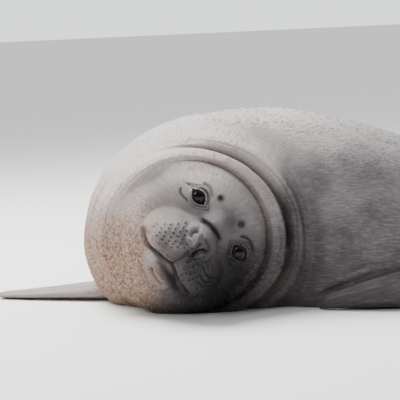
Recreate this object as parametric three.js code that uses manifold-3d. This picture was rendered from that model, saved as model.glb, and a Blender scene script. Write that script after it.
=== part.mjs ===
import * as THREE from 'three';
import { LoftGeometry } from 'three/addons/geometries/LoftGeometry.js';
import { mergeVertices } from 'three/addons/utils/BufferGeometryUtils.js';
import Module from 'manifold-3d';

// A weaned elephant seal at rest, in life size. It lies on its belly, its body along X with
// the tail towards +X, and its neck is bent round so that the face looks along -Y, rolled
// over onto its left cheek. Millimetres, Z up, and the floor is the plane z = 0.

const wasm = await Module();
wasm.setup();

// Driving dimensions
const GAP = 0.3;                  // clear space between neighbouring pieces
const CHEST_HEIGHT = 358;         // highest point of the back above the floor
const EYE_SPAN = 122;             // between the middles of the two eyes
const EYE_RADIUS = 19;            // eyeball
const EYE_MIDDLE = [32.5, 165.5]; // x and z of the point halfway between the eyes
const EYE_FORWARD = 73;           // how far the eyeballs' centres lie in front of y = 0
const HEAD_ROLL = 56.6;           // degrees from upright, crown towards +X
const ORIGIN = [200, 150];        // x and y of the middle of the chest's resting face

// The frame of the face: a runs to the seal's own left, b to its crown.
const roll = THREE.MathUtils.degToRad( HEAD_ROLL );
const LEFT = [ Math.cos( roll ), - Math.sin( roll ) ];
const CROWN = [ Math.sin( roll ), Math.cos( roll ) ];

// Upright slices through the body from the rim of the face to the rump: the plan places of
// the inner and the outer edge, the heights of the crest and of the widest line, how far the
// round belly would reach below the floor, the shift of the crest towards the inner edge as a
// share of the half width, and the power of the superellipse.
const SLICES = [
	[ 'face rim', [ 116, -38 ], [ -163, -28 ], 277, 138, -2, 0, 2.0 ],
	[ 'first roll front', [ 130, -54 ], [ -177, -14 ], 287, 136, 0, 0, 2.0 ],
	[ 'first roll back', [ 151, -40 ], [ -189, 10 ], 294, 134, 14, 0, 2.0 ],
	[ 'deep crease', [ 147, 2 ], [ -197, 42 ], 296, 132, -6, 0, 2.0 ],
	[ 'second roll front', [ 163, -22 ], [ -207, 74 ], 303, 130, 0, 0.02, 2.05 ],
	[ 'second roll back', [ 178, -34 ], [ -216, 110 ], 314, 126, 28, 0.04, 2.1 ],
	[ 'neck valley', [ 196, -24 ], [ -224, 165 ], 334, 112, 52, 0.04, 2.15 ],
	[ 'chest', [ 236, -58 ], [ -180, 270 ], 354, 114, 56, 0.04, 2.2 ],
	[ 'shoulder', [ 300, -95 ], [ -45, 362 ], CHEST_HEIGHT, 118, 56, 0, 2.2 ],
	[ 'ribs', [ 385, -108 ], [ 165, 396 ], 328, 114, 54, 0, 2.2 ],
	[ 'belly', [ 490, -95 ], [ 385, 388 ], 272, 98, 46, 0, 2.2 ],
	[ 'loin', [ 645, -42 ], [ 610, 344 ], 212, 82, 34, 0, 2.15 ],
	[ 'pelvis', [ 820, 26 ], [ 812, 282 ], 152, 62, 22, 0, 2.1 ],
	[ 'tail base', [ 975, 84 ], [ 975, 226 ], 104, 46, 12, 0, 2.0 ],
	[ 'rump', [ 1050, 96 ], [ 1050, 214 ], 72, 36, 4, 0, 2.0 ],
].map( ( [ name, inner, outer, top, mid, sink, lean, power ] ) =>
	( { name, inner, outer, top, mid, sink, lean, power } ) );
const RIM = 0;
const NECK = 2;
const CHEST = 7.5;                // its plane has to pass behind the deep crease's inner end
const BELLY = 10;
const HIPS = 11.7;
const RUMP = SLICES.length - 1;

// A monotone cubic through evenly spaced values: it never swings past a value it is given.
function smoothThrough( values, s ) {

	const last = values.length - 1;
	const i = Math.min( Math.max( Math.floor( s ), 0 ), last - 1 );
	const f = s - i;
	const step = ( k ) => values[ Math.min( k + 1, last ) ] - values[ Math.max( Math.min( k, last - 1 ), 0 ) ];
	const slope = ( k ) => {

		const before = k > 0 ? values[ k ] - values[ k - 1 ] : step( 0 );
		const after = k < last ? values[ k + 1 ] - values[ k ] : step( last - 1 );
		return before * after > 0 ? 2 * before * after / ( before + after ) : 0;

	};
	const f2 = f * f, f3 = f2 * f;
	return ( 2 * f3 - 3 * f2 + 1 ) * values[ i ] + ( f3 - 2 * f2 + f ) * slope( i )
		+ ( 3 * f2 - 2 * f3 ) * values[ i + 1 ] + ( f3 - f2 ) * slope( i + 1 );

}

const along = ( key, s ) => smoothThrough( SLICES.map( ( slice ) => slice[ key ] ), s );
const alongPair = ( key, axis, s ) => smoothThrough( SLICES.map( ( slice ) => slice[ key ][ axis ] ), s );

// The plan direction in which a slice faces, towards the nose.
function facing( s ) {

	const across = new THREE.Vector3(
		alongPair( 'inner', 0, s ) - alongPair( 'outer', 0, s ),
		alongPair( 'inner', 1, s ) - alongPair( 'outer', 1, s ), 0 ).normalize();
	return new THREE.Vector3( across.y, - across.x, 0 );

}

// A point of the skin: s counts the slices, and the angle runs from the inner edge over the
// crest. What would lie below the floor is pressed flat on it.
function skinPoint( s, angle, grow = 0 ) {

	const inner = [ alongPair( 'inner', 0, s ), alongPair( 'inner', 1, s ) ];
	const outer = [ alongPair( 'outer', 0, s ), alongPair( 'outer', 1, s ) ];
	const half = Math.hypot( inner[ 0 ] - outer[ 0 ], inner[ 1 ] - outer[ 1 ] ) / 2;
	const across = [ ( inner[ 0 ] - outer[ 0 ] ) / 2 / half, ( inner[ 1 ] - outer[ 1 ] ) / 2 / half ];
	const mid = along( 'mid', s );
	const power = 2 / along( 'power', s );
	const c = Math.cos( angle ), n = Math.sin( angle );
	const up = n > 0 ? along( 'top', s ) - mid : mid + along( 'sink', s );
	const rise = Math.sign( n ) * Math.pow( Math.abs( n ), power );
	const reach = Math.sign( c ) * Math.pow( Math.abs( c ), power ) * ( half + grow )
		+ along( 'lean', s ) * half * Math.max( rise, 0 );
	return new THREE.Vector3(
		( inner[ 0 ] + outer[ 0 ] ) / 2 + across[ 0 ] * reach,
		( inner[ 1 ] + outer[ 1 ] ) / 2 + across[ 1 ] * reach,
		Math.max( mid + ( up + grow ) * rise, 0 ) );

}

// The masses of the face: the middle and the half sizes of each in the frame of the face, the
// turn of its long axis in degrees, how far forward it reaches, how much it has dropped at its
// edge, and how blunt it is.
const MASSES = [
	[ 'skull', [ -5, 8 ], [ 128, 112 ], 0, 98, 60, 1.0 ],
	[ 'cheeks', [ 0, -92 ], [ 125, 112 ], 0, 104, 60, 1.0 ],
	[ 'bridge', [ 0, -10 ], [ 38, 44 ], 0, 124, 50, 1.2 ],
	[ 'muzzle', [ 0, -74 ], [ 60, 56 ], 0, 154, 60, 1.6 ],
	[ 'right pad', [ -38, -78 ], [ 40, 33 ], 40, 163, 45, 1.3 ],
	[ 'left pad', [ 36, -80 ], [ 41, 37 ], -20, 163, 45, 1.4 ],
	[ 'nose', [ 0, -45 ], [ 31, 25 ], -8, 177, 46, 1.5 ],
	[ 'chin', [ 4, -130 ], [ 44, 24 ], 0, 136, 50, 1.3 ],
	[ 'right lids', [ -61, 0 ], [ 28, 24 ], 0, 88, 26, 1.2 ],
	[ 'left lids', [ 61, 0 ], [ 28, 24 ], 0, 88, 26, 1.2 ],
];
const MASS_BLEND = 6;

// How far forward of y = 0 the face reaches at a, b: a soft maximum over the masses.
function faceForward( a, b ) {

	let sum = 0;
	for ( const [ , at, size, turn, front, drop, blunt ] of MASSES ) {

		const w = THREE.MathUtils.degToRad( turn );
		const u = ( ( a - at[ 0 ] ) * Math.cos( w ) + ( b - at[ 1 ] ) * Math.sin( w ) ) / size[ 0 ];
		const v = ( ( b - at[ 1 ] ) * Math.cos( w ) - ( a - at[ 0 ] ) * Math.sin( w ) ) / size[ 1 ];
		sum += Math.exp( ( front - drop * Math.pow( u * u + v * v, blunt ) ) / MASS_BLEND );

	}
	return MASS_BLEND * Math.log( sum );

}

// Between the frame of the face and the model's x and z.
const fromFace = ( a, b ) => [
	EYE_MIDDLE[ 0 ] + a * LEFT[ 0 ] + b * CROWN[ 0 ],
	EYE_MIDDLE[ 1 ] + a * LEFT[ 1 ] + b * CROWN[ 1 ] ];
const toFace = ( x, z ) => [
	( x - EYE_MIDDLE[ 0 ] ) * LEFT[ 0 ] + ( z - EYE_MIDDLE[ 1 ] ) * LEFT[ 1 ],
	( x - EYE_MIDDLE[ 0 ] ) * CROWN[ 0 ] + ( z - EYE_MIDDLE[ 1 ] ) * CROWN[ 1 ] ];
const NOSE_AT = [ 2, -44 ];
const RIM_TUCK = 0.72;            // share of the way to the rim where the cushion turns back

function onFace( a, b ) {

	const [ x, z ] = fromFace( a, b );
	return new THREE.Vector3( x, - faceForward( a, b ), z );

}

// A point of the face: t runs from the nose to the rim, where the cushion tucks in.
function facePoint( t, angle ) {

	const rim = skinPoint( RIM, angle );
	const below = SLICES[ RIM ].mid + SLICES[ RIM ].sink;
	const [ noseX, noseZ ] = fromFace( ...NOSE_AT );
	const rimZ = angle > Math.PI ? SLICES[ RIM ].mid + below * Math.sin( angle ) : rim.z;
	const x = noseX + t * ( rim.x - noseX );
	const z = noseZ + t * ( rimZ - noseZ );
	const tuck = Math.max( ( t - RIM_TUCK ) / ( 1 - RIM_TUCK ), 0 );
	const y = THREE.MathUtils.lerp( - faceForward( ...toFace( x, z ) ), rim.y,
		1 - Math.sqrt( Math.max( 1 - tuck * tuck, 0 ) ) );
	return new THREE.Vector3( x, y, Math.max( z, 0 ) );

}

// A ring of points round a slice, and the closed body between a list of rings.
const ring = ( columns, point ) => Array.from( { length: columns },
	( _, i ) => point( - 2 * Math.PI * i / columns + 2 * Math.PI ) );
const loft = ( rings, capEnd = true ) => new LoftGeometry( rings, { closed: true, capStart: true, capEnd } );
const spread = ( from, to, count ) => Array.from( { length: count + 1 },
	( _, i ) => from + ( to - from ) * i / count );

// Shared vertices are merged while a shape is still about its own origin, where its
// 32-bit numbers are finest.
function weld( geometry ) {

	geometry.deleteAttribute( 'normal' );
	geometry.deleteAttribute( 'uv' );
	return mergeVertices( geometry, 1e-4 );

}

function solid( geometry ) {

	const merged = geometry.attributes.normal ? weld( geometry ) : geometry;
	const index = merged.index.array;
	const kept = [];
	for ( let i = 0; i < index.length; i += 3 ) {

		const [ p, q, r ] = [ index[ i ], index[ i + 1 ], index[ i + 2 ] ];
		if ( p !== q && q !== r && r !== p ) kept.push( p, q, r );

	}
	return new wasm.Manifold( new wasm.Mesh( {
		numProp: 3, vertProperties: merged.attributes.position.array, triVerts: new Uint32Array( kept ) } ) );

}

// The largest closed surface of a solid, as geometry.
function body( manifold ) {

	const pieces = manifold.decompose().sort( ( p, q ) => q.volume() - p.volume() );
	const mesh = pieces[ 0 ].getMesh();
	const geometry = new THREE.BufferGeometry();
	geometry.setAttribute( 'position', new THREE.BufferAttribute( mesh.vertProperties, 3 ) );
	geometry.setIndex( new THREE.BufferAttribute( mesh.triVerts, 1 ) );
	geometry.computeVertexNormals();
	return geometry;

}

// A stretch of the trunk between two slices, pulled back by half the gap at each cut. One that
// is grown to clear its neighbours reaches past its cuts, so that two of them leave no sliver.
function stretch( { from, to, rows, columns }, grow = 0 ) {

	const rings = spread( from, to, rows ).map( ( s ) =>
		ring( columns, ( angle ) => skinPoint( s, angle, grow ) ) );
	const pull = ( points, s, by ) => points.forEach( ( p ) => p.addScaledVector( facing( s ), by ) );
	const inset = grow > 0 ? - GAP : GAP / 2;
	pull( rings[ 0 ], from, - inset );
	pull( rings[ rows ], to, inset );
	return solid( loft( rings ) );

}

const HEAD_COLUMNS = 72;
const TRUNK_COLUMNS = 48;
const FACE_START = 0.03;          // innermost ring of the face, as a share of the way to the rim
const FACE_ROWS = 27;
const NAPE_ROWS = 6;
const STRETCHES = {
	neck: { from: NECK, to: CHEST, rows: 17, columns: HEAD_COLUMNS },
	chest: { from: CHEST, to: BELLY, rows: 7, columns: TRUNK_COLUMNS },
	belly: { from: BELLY, to: HIPS, rows: 6, columns: TRUNK_COLUMNS },
	hips: { from: HIPS, to: RUMP, rows: 7, columns: TRUNK_COLUMNS },
};

function headShell() {

	const face = spread( FACE_START, 1, FACE_ROWS ).map( ( t ) =>
		ring( HEAD_COLUMNS, ( angle ) => facePoint( t, angle ) ) );
	const nape = spread( RIM, NECK, NAPE_ROWS ).slice( 1 ).map( ( s ) =>
		ring( HEAD_COLUMNS, ( angle ) => skinPoint( s, angle ) ) );
	nape[ nape.length - 1 ].forEach( ( p ) => p.addScaledVector( facing( NECK ), GAP / 2 ) );
	return solid( loft( [ ...face, ...nape ] ) );

}

// A tube along points, flattened to its own half width across and half depth along y.
function channel( points, halfWidth, halfDepth, sides = 6 ) {

	const curve = new THREE.CatmullRomCurve3( points );
	const steps = points.length * 2;
	const rings = spread( 0, 1, steps ).map( ( t ) => {

		const at = curve.getPointAt( t );
		const side = curve.getTangentAt( t ).cross( new THREE.Vector3( 0, 1, 0 ) ).normalize();
		const taper = Math.sqrt( Math.max( 1 - Math.pow( 2 * t - 1, 4 ), 0.04 ) );
		return Array.from( { length: sides }, ( _, i ) => {

			const w = - 2 * Math.PI * i / sides;
			return at.clone().addScaledVector( side, halfWidth * taper * Math.cos( w ) )
				.addScaledVector( new THREE.Vector3( 0, 1, 0 ), halfDepth * taper * Math.sin( w ) );

		} );

	} );
	return solid( loft( rings ) );

}

// Slits of the face, as points in the frame of the face, each with the half width and the
// half depth of the cut.
const SLITS = [
	{ name: 'mouth line', width: 2.2, depth: 9, line: [ [ -70, -115 ], [ -57, -119 ], [ -42, -121 ],
		[ -27, -116 ], [ -12, -110 ], [ 2, -106 ], [ 20, -110 ], [ 38, -113 ], [ 55, -114 ], [ 70, -114 ] ] },
	{ name: 'right nostril', width: 3, depth: 12, line: [ [ -21, -49 ], [ -24, -44 ],
		[ -24, -39 ], [ -19, -32 ] ] },
	{ name: 'left nostril', width: 3, depth: 12, line: [ [ 10, -68 ], [ 9, -58 ],
		[ 11, -49 ], [ 17, -42 ], [ 23, -42 ] ] },
	{ name: 'lip cleft', width: 1.5, depth: 3, line: [ [ -1, -66 ], [ 0, -78 ], [ 0, -92 ], [ 1, -104 ] ] },
];

const eyeCentre = ( side ) => {

	const [ x, z ] = fromFace( side * EYE_SPAN / 2, 0 );
	return new THREE.Vector3( x, - EYE_FORWARD, z );

};

// A lid ring: a soft cord round the almond opening, lying on the eyeball.
const LID_HALF_LENGTH = 17;
const LID_HALF_HEIGHT = { '-1': 10.5, 1: 12.5 };
const LID_THICK = 4.2;
const LID_TUBE = 0.25;            // tube of the ring before it is stretched to size
const LID_HUG = 0.8;              // how closely the ring follows the ball
const LEAST_DEPTH = 3;

function lidRing( side ) {

	const centre = eyeCentre( side );
	const geometry = weld( new THREE.TorusGeometry( 1, LID_TUBE, 6, 24 ) );
	const position = geometry.attributes.position;
	for ( let i = 0; i < position.count; i ++ ) {

		const x = position.getX( i ), y = position.getY( i ), z = position.getZ( i );
		const around = Math.atan2( y, x );
		const thick = ( Math.hypot( x, y ) - 1 ) / LID_TUBE * LID_THICK;
		const a = Math.cos( around ) * ( LID_HALF_LENGTH + thick );
		const b = Math.sin( around ) * ( LID_HALF_HEIGHT[ side ] + thick );
		const depth = Math.sqrt( Math.max( EYE_RADIUS ** 2 - ( a * a + b * b ) * LID_HUG, LEAST_DEPTH ** 2 ) );
		position.setXYZ( i,
			centre.x + a * LEFT[ 0 ] + b * CROWN[ 0 ],
			centre.y - depth - z / LID_TUBE * LID_THICK,
			centre.z + a * LEFT[ 1 ] + b * CROWN[ 1 ] );

	}
	return solid( geometry );

}

function ball( centre, radius ) {

	const sphere = weld( new THREE.SphereGeometry( radius, 16, 10 ) );
	sphere.rotateX( - Math.PI / 2 );
	return solid( sphere.translate( centre.x, centre.y, centre.z ) );

}

// A flipper: a flattened body carried along a path. Each stop gives its middle, the half
// width and half thickness there; `across` turns from the root's to the tip's direction. The
// flesh thins between its five digits, and each digit ends in a claw.
const DIGITS = 5;
const WEB_THINNING = 0.28;        // how much thinner the web is than a digit, at the tip
const TIP_REACH = 0.25;           // reach of the tip past the path, as a share of its half width
const DIGIT_REACH = 0.1;          // how much further a digit reaches than the web beside it
const TIP_NARROWING = 0.25;
const CLAW_RADIUS = 3.4;
const CLAW_ROOT = 10;             // length of a claw that is sunk in its digit
const CLAW_SPREAD = 0.68;         // outermost claw, as a share of the half width
const CLAW_HEIGHT = 4;            // lowest middle of a claw above the floor
const FLIPPER_COLUMNS = 28;
const FLIPPER_ROWS = 9;
const FLIPPERS = {
	fore_flipper_right: {
		stops: [ [ -110, 180, 26 ], [ -190, 204, 19 ], [ -260, 228, 14 ], [ -330, 250, 10 ], [ -392, 270, 7 ] ],
		width: [ 44, 46, 42, 34, 23 ], thick: [ 26, 18, 13, 9, 6 ],
		across: [ [ 0.31, 0.95, 0.05 ], [ 0.31, 0.95, 0 ] ], fan: 0.1, claw: 15,
	},
	fore_flipper_left: {
		stops: [ [ 470, -80, 56 ], [ 400, -98, 46 ], [ 335, -94, 38 ], [ 272, -80, 27 ], [ 215, -60, 15 ] ],
		width: [ 56, 44, 36, 26, 15 ], thick: [ 24, 20, 17, 13, 8 ],
		across: [ [ 0.1, -0.25, 0.95 ], [ 0.3, -0.4, 0.85 ] ], fan: 0.1, claw: 10,
	},
	hind_flipper_right: {
		stops: [ [ 1010, 196, 36 ], [ 1080, 206, 36 ], [ 1145, 216, 36 ], [ 1210, 227, 34 ], [ 1270, 238, 32 ] ],
		width: [ 26, 32, 46, 64, 80 ], thick: [ 16, 16, 14, 12, 9 ],
		across: [ [ 0.1, 0.5, 0.86 ], [ -0.15, 0.95, 0.3 ] ], fan: 0.35, claw: 7,
	},
	hind_flipper_left: {
		stops: [ [ 1010, 114, 36 ], [ 1080, 104, 36 ], [ 1145, 94, 36 ], [ 1210, 83, 34 ], [ 1270, 72, 32 ] ],
		width: [ 26, 32, 46, 64, 80 ], thick: [ 16, 16, 14, 12, 9 ],
		across: [ [ 0.1, 0.5, -0.86 ], [ 0.15, 0.95, -0.3 ] ], fan: 0.35, claw: 7,
	},
};

// 1 on a digit and -1 in the web between two, at u from -1 to 1 across the flipper.
const onDigit = ( u ) => Math.cos( Math.PI * u * ( DIGITS - 1 ) );

function flipper( { stops, width, thick, across, fan, claw } ) {

	const curve = new THREE.CatmullRomCurve3( stops.map( ( stop ) => new THREE.Vector3( ...stop ) ) );
	const last = stops.length - 1;
	const ahead = curve.getTangentAt( 1 );
	const acrossAt = ( t ) => new THREE.Vector3( ...across[ 0 ] )
		.lerp( new THREE.Vector3( ...across[ 1 ] ), t ).normalize();
	const reachAt = ( u ) => width[ last ] * ( TIP_REACH + fan * Math.abs( u ) + DIGIT_REACH * onDigit( u ) );
	const section = ( t, shrink, reached ) => {

		const at = curve.getPoint( t );
		const wide = acrossAt( t );
		const proud = new THREE.Vector3().crossVectors( curve.getTangent( t ), wide ).normalize();
		const halfWidth = smoothThrough( width, t * last ) * ( 1 - TIP_NARROWING * shrink );
		const halfThick = smoothThrough( thick, t * last ) * ( 1 - shrink );
		return Array.from( { length: FLIPPER_COLUMNS }, ( _, i ) => {

			const w = 2 * Math.PI * i / FLIPPER_COLUMNS;
			// counted so that both faces share exactly the same u, and the tip closes to a line
			const u = Math.cos( 2 * Math.PI * Math.min( i, FLIPPER_COLUMNS - i ) / FLIPPER_COLUMNS );
			const web = 1 - WEB_THINNING * t * ( 1 - onDigit( u ) ) / 2;
			const p = at.clone().addScaledVector( wide, u * halfWidth )
				.addScaledVector( proud, Math.sin( w ) * web * halfThick )
				.addScaledVector( ahead, reached * reachAt( u ) );
			p.z = Math.max( p.z, 0 );
			return p;

		} );

	};
	const rings = spread( 0, 1, FLIPPER_ROWS ).map( ( t ) => section( t, 0, 0 ) );
	rings.push( section( 1, 0.2, 0.6 ), section( 1, 0.5, 0.9 ), section( 1, 1, 1 ) );
	let made = solid( loft( rings, false ) );
	for ( const u of spread( - 1, 1, DIGITS - 1 ) ) {

		const nail = weld( new THREE.ConeGeometry( CLAW_RADIUS, claw + CLAW_ROOT, 6 ) );
		nail.applyQuaternion( new THREE.Quaternion().setFromUnitVectors( new THREE.Vector3( 0, 1, 0 ), ahead ) );
		const at = curve.getPoint( 1 ).addScaledVector( acrossAt( 1 ), u * width[ last ] * CLAW_SPREAD )
			.addScaledVector( ahead, reachAt( u * CLAW_SPREAD / ( 1 - TIP_NARROWING ) ) + ( claw - CLAW_ROOT ) / 2 );
		nail.translate( at.x, at.y, Math.max( at.z, CLAW_HEIGHT ) );
		made = made.add( solid( nail ) );

	}
	return made;

}

// The short tail: x, y, z and radius of each ring, wider than it is high.
const TAIL = [ [ 1040, 155, 34, 14 ], [ 1065, 155, 32, 13 ], [ 1095, 155, 28, 11 ],
	[ 1118, 155, 25, 7 ], [ 1124, 155, 25, 3 ] ];
const TAIL_WIDE = 1.25;
const TAIL_HIGH = 0.8;
const TAIL_COLUMNS = 20;

function tail() {

	return solid( loft( TAIL.map( ( [ x, y, z, radius ] ) => ring( TAIL_COLUMNS, ( angle ) =>
		new THREE.Vector3( x, y - radius * TAIL_WIDE * Math.cos( angle ),
			z + radius * TAIL_HIGH * Math.sin( angle ) ) ) ) ) );

}

const materials = {
	skin: new THREE.MeshStandardMaterial( { color: '#77777b', roughness: 0.62, metalness: 0 } ),
	eye: new THREE.MeshStandardMaterial( { color: '#15161a', roughness: 0.08, metalness: 0 } ),
};

const seal = new THREE.Group();
seal.position.set( - ORIGIN[ 0 ], - ORIGIN[ 1 ], 0 );

function add( name, geometry, material = materials.skin ) {

	const mesh = new THREE.Mesh( geometry, material );
	mesh.name = name;
	seal.add( mesh );

}

const EYE_SIDES = { right: - 1, left: 1 };
let head = headShell();
for ( const side of Object.values( EYE_SIDES ) ) {

	head = head.add( lidRing( side ) ).subtract( ball( eyeCentre( side ), EYE_RADIUS + GAP ) );

}
for ( const { line, width, depth } of SLITS ) {

	head = head.subtract( channel( line.map( ( [ a, b ] ) => onFace( a, b ) ), width, depth ) );

}
add( 'head', body( head ) );
for ( const [ name, side ] of Object.entries( EYE_SIDES ) ) {

	add( 'eye_' + name, body( ball( eyeCentre( side ), EYE_RADIUS ) ), materials.eye );

}
for ( const [ name, part ] of Object.entries( STRETCHES ) ) add( name, body( stretch( part ) ) );

// Each limb meets the trunk face to face: it is cut back from the trunk by the gap.
const shoulders = [ stretch( STRETCHES.neck, 2 * GAP ), stretch( STRETCHES.chest, 2 * GAP ) ];
const rump = [ stretch( STRETCHES.hips, 2 * GAP ) ];
const clearOf = ( limb, trunk ) => trunk.reduce( ( left, stretched ) => left.subtract( stretched ), limb );
for ( const [ name, shape ] of Object.entries( FLIPPERS ) ) {

	add( name, body( clearOf( flipper( shape ), name.startsWith( 'fore' ) ? shoulders : rump ) ) );

}
add( 'tail', body( clearOf( tail(), rump ) ) );

export default seal;
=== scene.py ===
# %% [markdown]
# A weaned elephant seal lies on its belly with its neck bent round, so that its face looks at
# us, rolled over onto its left cheek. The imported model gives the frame. Every surface here is
# worked out in numpy in millimetres, in the layout the seal was measured in, and only at the
# very end is it moved to the frame's origin and turned into metres.

# %% Load the frame
import math
import bpy
import numpy as np
from mathutils import Matrix, Vector


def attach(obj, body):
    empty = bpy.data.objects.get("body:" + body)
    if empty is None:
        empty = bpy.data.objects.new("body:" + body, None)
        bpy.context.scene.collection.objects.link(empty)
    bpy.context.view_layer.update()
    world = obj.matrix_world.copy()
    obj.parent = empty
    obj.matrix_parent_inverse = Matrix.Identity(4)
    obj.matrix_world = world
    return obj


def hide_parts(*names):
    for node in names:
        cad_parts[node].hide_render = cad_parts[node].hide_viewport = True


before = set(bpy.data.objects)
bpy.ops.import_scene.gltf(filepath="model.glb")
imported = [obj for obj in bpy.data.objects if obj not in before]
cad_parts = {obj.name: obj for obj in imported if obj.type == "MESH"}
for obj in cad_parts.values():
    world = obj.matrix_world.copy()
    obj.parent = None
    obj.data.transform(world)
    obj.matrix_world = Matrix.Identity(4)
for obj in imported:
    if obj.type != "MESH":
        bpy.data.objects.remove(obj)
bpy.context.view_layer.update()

# %% [markdown]
# The camera comes first, because all the shaping is judged through it. It stands 3.2 m in
# front of the face and half a metre up, looks slightly down, and is turned a little about its
# own axis, as the sloping horizon shows. Its long lens flattens the depth.

# %% Camera
ORIGIN = np.array([200.0, 150.0, 0.0])
PHOTO_SIDE_PX = 400
FOCAL_PX = 1776
HORIZON_ABOVE_MIDDLE_PX = 168.8
CAMERA_AT = np.array([0.0, -3200.0, 506.0])
CAMERA_ROLL = math.radians(2.6)


def to_metres(points):
    """(points - ORIGIN) / 1000: from the seal's own millimetres to the frame's metres."""
    return (np.asarray(points, float) - ORIGIN) / 1000.0


def make_camera():
    """The right and up axes are turned by the roll: r = x cos - u sin, v = x sin + u cos."""
    pitch = math.atan2(HORIZON_ABOVE_MIDDLE_PX, FOCAL_PX)
    forward = np.array([0.0, math.cos(pitch), -math.sin(pitch)])
    level_up = np.array([0.0, math.sin(pitch), math.cos(pitch)])
    level_right = np.array([1.0, 0.0, 0.0])
    right = level_right * math.cos(CAMERA_ROLL) - level_up * math.sin(CAMERA_ROLL)
    up = level_right * math.sin(CAMERA_ROLL) + level_up * math.cos(CAMERA_ROLL)
    data = bpy.data.cameras.new("photo_camera")
    data.sensor_width = 36.0
    data.lens = data.sensor_width * FOCAL_PX / PHOTO_SIDE_PX
    data.clip_end = 900.0
    camera = bpy.data.objects.new("photo_camera", data)
    bpy.context.collection.objects.link(camera)
    turn = Matrix([[right[i], up[i], -forward[i]] for i in range(3)])
    camera.matrix_world = Matrix.Translation(to_metres(CAMERA_AT)) @ turn.to_4x4()
    bpy.context.scene.camera = camera
    return camera


camera = make_camera()
print("lens", round(camera.data.lens, 1), "mm")

# %% [markdown]
# The trunk is a fan of upright slices. Each slice is a superellipse between an inner edge, on
# the near side of the bend, and an outer edge. The sizes below are read once and joined by a
# cubic that never swings past them, so the rolls of the neck stay where they are put.

# %% Slices of the trunk
# inner x, inner y, outer x, outer y, crest height, widest height, reach below floor, lean, power
SLICES = np.array([
    [116, -38, -163, -28, 277, 138, -2, 0.00, 2.00],
    [130, -54, -177, -14, 287, 136, 0, 0.00, 2.00],
    [151, -40, -189, 10, 294, 134, 14, 0.00, 2.00],
    [147, 2, -197, 42, 296, 132, -6, 0.00, 2.00],
    [163, -22, -207, 74, 303, 130, 0, 0.02, 2.05],
    [178, -34, -216, 110, 314, 126, 28, 0.04, 2.10],
    [196, -24, -224, 165, 334, 112, 52, 0.04, 2.15],
    [236, -58, -180, 270, 354, 114, 56, 0.04, 2.20],
    [300, -95, -45, 362, 358, 118, 56, 0.00, 2.20],
    [385, -108, 165, 396, 328, 114, 54, 0.00, 2.20],
    [490, -95, 385, 388, 272, 98, 46, 0.00, 2.20],
    [645, -42, 610, 344, 212, 82, 34, 0.00, 2.15],
    [820, 26, 812, 282, 152, 62, 22, 0.00, 2.10],
    [975, 84, 975, 226, 104, 46, 12, 0.00, 2.00],
    [1050, 96, 1050, 214, 72, 36, 4, 0.00, 2.00],
])
RIM, CREASE, RUMP = 0.0, 3.0, len(SLICES) - 1.0


def smooth_through(values, s):
    """Monotone cubic: h00 v0 + h10 m0 + h01 v1 + h11 m1, with harmonic-mean slopes m."""
    steps = np.diff(values)
    before, after = steps[:-1], steps[1:]
    total = before + after
    inner = np.where(before * after > 0, 2 * before * after / np.where(total == 0, 1, total), 0.0)
    slopes = np.concatenate([steps[:1], inner, steps[-1:]])
    i = np.clip(np.floor(s).astype(int), 0, len(values) - 2)
    f = s - i
    f2, f3 = f * f, f ** 3
    return ((2 * f3 - 3 * f2 + 1) * values[i] + (f3 - 2 * f2 + f) * slopes[i]
            + (3 * f2 - 2 * f3) * values[i + 1] + (f3 - f2) * slopes[i + 1])


def signed_power(x, power):
    """sign(x) |x| ** power."""
    return np.sign(x) * np.abs(x) ** power


def trunk(s, angle, on_floor=True):
    """Centre + across * half * cos^(2/n) + up * rise * sin^(2/n), pressed flat on the floor."""
    ix, iy, ox, oy, top, mid, sink, lean, power = [smooth_through(SLICES[:, k], s) for k in range(9)]
    half = np.hypot(ix - ox, iy - oy) / 2
    ax, ay = (ix - ox) / 2 / half, (iy - oy) / 2 / half
    rise = signed_power(np.sin(angle), 2 / power)
    up = np.where(rise > 0, top - mid, mid + sink)
    reach = signed_power(np.cos(angle), 2 / power) * half + lean * half * np.maximum(rise, 0)
    z = mid + up * rise
    return np.stack([(ix + ox) / 2 + ax * reach, (iy + oy) / 2 + ay * reach,
                     np.maximum(z, 0) if on_floor else z], axis=-1)


print("slices", len(SLICES))

# %% [markdown]
# The face is a cushion that fills the first slice. It is measured in the frame of the head: a
# runs to the seal's own left, b to its crown, both from the point between the eyes. Round
# masses for the skull, cheeks, muzzle, whisker pads, nose and chin are joined by a soft
# maximum, as clay is laid on and smoothed over.

# %% Masses of the face
EYE_SPAN = 122.0
EYE_RADIUS = 19.0
EYE_FORWARD = 73.0
EYE_MIDDLE = np.array([32.5, 165.5])
HEAD_ROLL = math.radians(56.6)
LEFT = np.array([math.cos(HEAD_ROLL), -math.sin(HEAD_ROLL)])
CROWN = np.array([math.sin(HEAD_ROLL), math.cos(HEAD_ROLL)])
NOSE_AT = (2.0, -44.0)
RIM_TUCK = 0.72
MASS_BLEND = 6.0
# a, b, half size a, half size b, turn in degrees, forward reach, drop at its edge, bluntness
MASSES = [
    (-5, 8, 128, 112, 0, 98, 60, 1.0),      # skull
    (0, -92, 125, 112, 0, 104, 60, 1.0),    # cheeks
    (0, -10, 38, 44, 0, 124, 50, 1.2),      # bridge of the nose
    (0, -74, 60, 56, 0, 154, 60, 1.6),      # muzzle
    (-38, -78, 40, 33, 40, 163, 45, 1.3),   # right whisker pad
    (36, -80, 41, 37, -20, 163, 45, 1.4),   # left whisker pad
    (0, -45, 31, 25, -8, 177, 46, 1.5),     # nose
    (4, -130, 44, 24, 0, 136, 50, 1.3),     # chin
    (-61, 0, 28, 24, 0, 88, 26, 1.2),       # right lids
    (61, 0, 28, 24, 0, 88, 26, 1.2),        # left lids
]


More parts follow.
